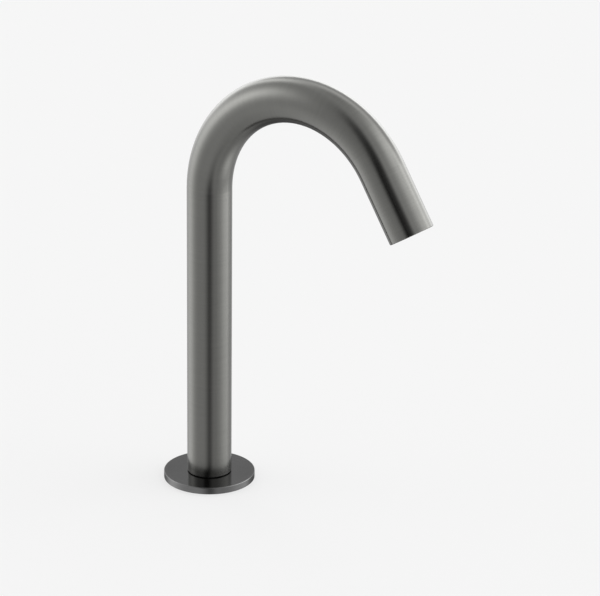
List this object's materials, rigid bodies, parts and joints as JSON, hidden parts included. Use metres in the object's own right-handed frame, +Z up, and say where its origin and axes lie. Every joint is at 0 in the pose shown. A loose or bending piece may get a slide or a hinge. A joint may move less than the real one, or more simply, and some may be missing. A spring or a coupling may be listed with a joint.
{
  "type": "touch-free basin tap",
  "caption": "Tall swan-neck basin tap that opens by an infrared sensor in the spout's tip, on a thin round deck flange.",
  "frame": {"origin": "centre of the flange's underside, on the deck, at the mouth of the water inlet port", "axes": "+Z up the column, +X towards the spout's tip, Y across"},
  "size_m": [0.188, 0.0576, 0.275],
  "materials": {
    "gunmetal": "fine brushed, dark grey coating",
    "machined_brass": "turned",
    "spring_steel": "rolled",
    "ferrule_steel": "crimped",
    "dark_screw_steel": "blackened",
    "bearing_plastic": "moulded",
    "holder_plastic": "moulded",
    "aerator_plastic": "moulded",
    "straightener_plastic": "moulded",
    "insert_plastic": "moulded",
    "screen_plastic": "moulded",
    "capsule_plastic": "moulded",
    "window_plastic": "polished, dark",
    "diode_clear": "clear cast",
    "diode_dark": "dark cast",
    "board_laminate": "solder resist",
    "plug_plastic": "moulded",
    "soft_rubber": "matt",
    "seal_rubber": "smooth",
    "hose_skin": "ribbed skin",
    "cable_sheath": "smooth sheath"
  },
  "bodies": {
    "base": {"base_flange": "gunmetal", "flange_gasket": "soft_rubber", "slip_ring": "bearing_plastic", "base_socket": "machined_brass", "lower_bearing_ring": "bearing_plastic", "upper_bearing_ring": "bearing_plastic", "damping_ring": "seal_rubber", "inlet_seal": "seal_rubber"},
    "spout": {"spout_tube": "gunmetal", "stop_screw": "dark_screw_steel", "hose_coupling": "machined_brass", "hose_clip": "spring_steel", "water_hose": "hose_skin", "lower_ferrule": "ferrule_steel", "upper_ferrule": "ferrule_steel", "sensor_cable": "cable_sheath", "cable_plug": "plug_plastic", "outlet_holder": "holder_plastic", "holder_seal": "seal_rubber", "lock_screw": "dark_screw_steel", "aerator_shell": "aerator_plastic", "stream_straightener": "straightener_plastic", "jet_plate": "insert_plastic", "flow_regulator": "insert_plastic", "inlet_screen": "screen_plastic", "aerator_seal": "seal_rubber", "sensor_window": "window_plastic", "sensor_capsule": "capsule_plastic", "sensor_board": "board_laminate", "ir_emitter": "diode_clear", "ir_receiver": "diode_dark", "cable_sleeve": "soft_rubber"}
  },
  "joints": [
    {"name": "spout_swivel", "type": "hinge", "parent": "base", "child": "spout", "pos_m": [0, 0, 0], "axis": [0, 0, 1], "range_deg": [-60, 60]}
  ]
}
